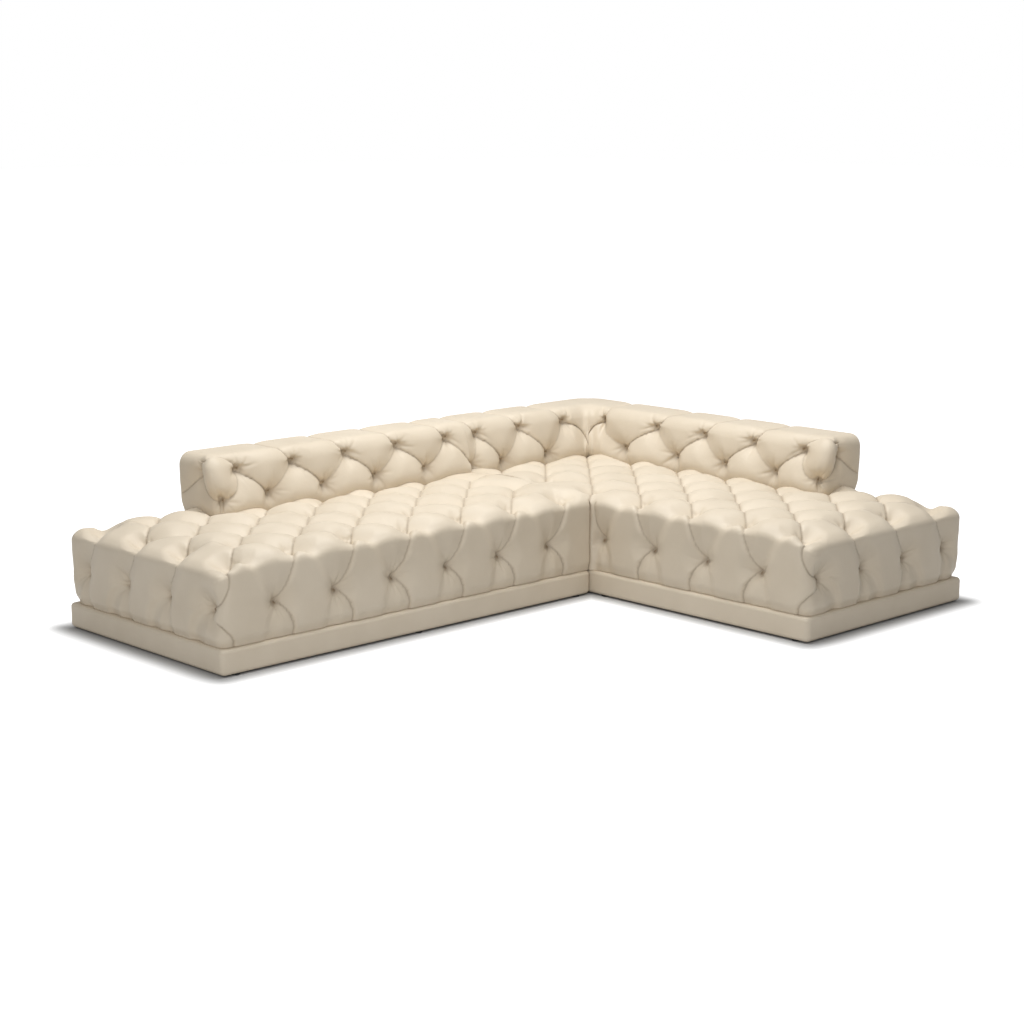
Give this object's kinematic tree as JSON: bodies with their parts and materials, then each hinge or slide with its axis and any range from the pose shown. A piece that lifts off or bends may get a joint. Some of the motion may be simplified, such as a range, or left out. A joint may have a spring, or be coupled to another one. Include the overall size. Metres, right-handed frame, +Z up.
{
  "type": "l-shaped sofa",
  "caption": "Low L-shaped sectional sofa with deep diamond-tufted leather seats and low backs on a leather-wrapped plinth; its sections pull apart at a spring-jaw connector.",
  "frame": {"origin": "middle of the sofa's footprint box, on the floor", "axes": "+X along the long wing towards the corner section, +Y from the seat front towards the long back, +Z up"},
  "size_m": [2.8454, 2.12, 0.625],
  "materials": {
    "leather": "soft cream leather, low sheen",
    "timber": "sawn and planed hardwood",
    "foam": "open-cell upholstery foam",
    "webbing": "woven elastic webbing",
    "twine": "waxed tufting twine with felt washers",
    "steel": "zinc-plated steel",
    "nylon": "moulded nylon",
    "dust_cloth": "non-woven lining cloth"
  },
  "bodies": {
    "left_section": {"connector_jaw": "steel", "connector_jaw_screws": "steel", "left_back_bolts": "steel", "left_back_foam": "foam", "left_back_jacket": "leather", "left_back_posts": "timber", "left_back_rails": "timber", "left_back_ties": "twine", "left_dust_cover": "dust_cloth", "left_glides": "nylon", "left_plinth_cover": "leather", "left_plinth_cross_rails": "timber", "left_plinth_end_rails": "timber", "left_plinth_long_rails": "timber", "left_plinth_screws": "steel", "left_seat_cross_rails": "timber", "left_seat_end_rails": "timber", "left_seat_foam": "foam", "left_seat_jacket": "leather", "left_seat_long_rails": "timber", "left_seat_ties": "twine", "left_webbing": "webbing"},
    "right_section": {"connector_tongue": "steel", "connector_tongue_screws": "steel", "right_dust_cover": "dust_cloth", "right_glides": "nylon", "right_plinth_cover": "leather", "right_plinth_cross_rails": "timber", "right_plinth_end_rails": "timber", "right_plinth_long_rails": "timber", "right_plinth_screws": "steel", "right_rear_back_bolts": "steel", "right_rear_back_foam": "foam", "right_rear_back_jacket": "leather", "right_rear_back_posts": "timber", "right_rear_back_rails": "timber", "right_rear_back_ties": "twine", "right_seat_cross_rails": "timber", "right_seat_end_rails": "timber", "right_seat_foam": "foam", "right_seat_jacket": "leather", "right_seat_long_rails": "timber", "right_seat_ties": "twine", "right_side_back_bolts": "steel", "right_side_back_foam": "foam", "right_side_back_jacket": "leather", "right_side_back_posts": "timber", "right_side_back_rails": "timber", "right_side_back_ties": "twine", "right_webbing": "webbing"}
  },
  "joints": [
    {"name": "section_slide", "type": "slide", "parent": "left_section", "child": "right_section", "axis": [1, 0, 0], "range_m": [0, 0.25]}
  ]
}
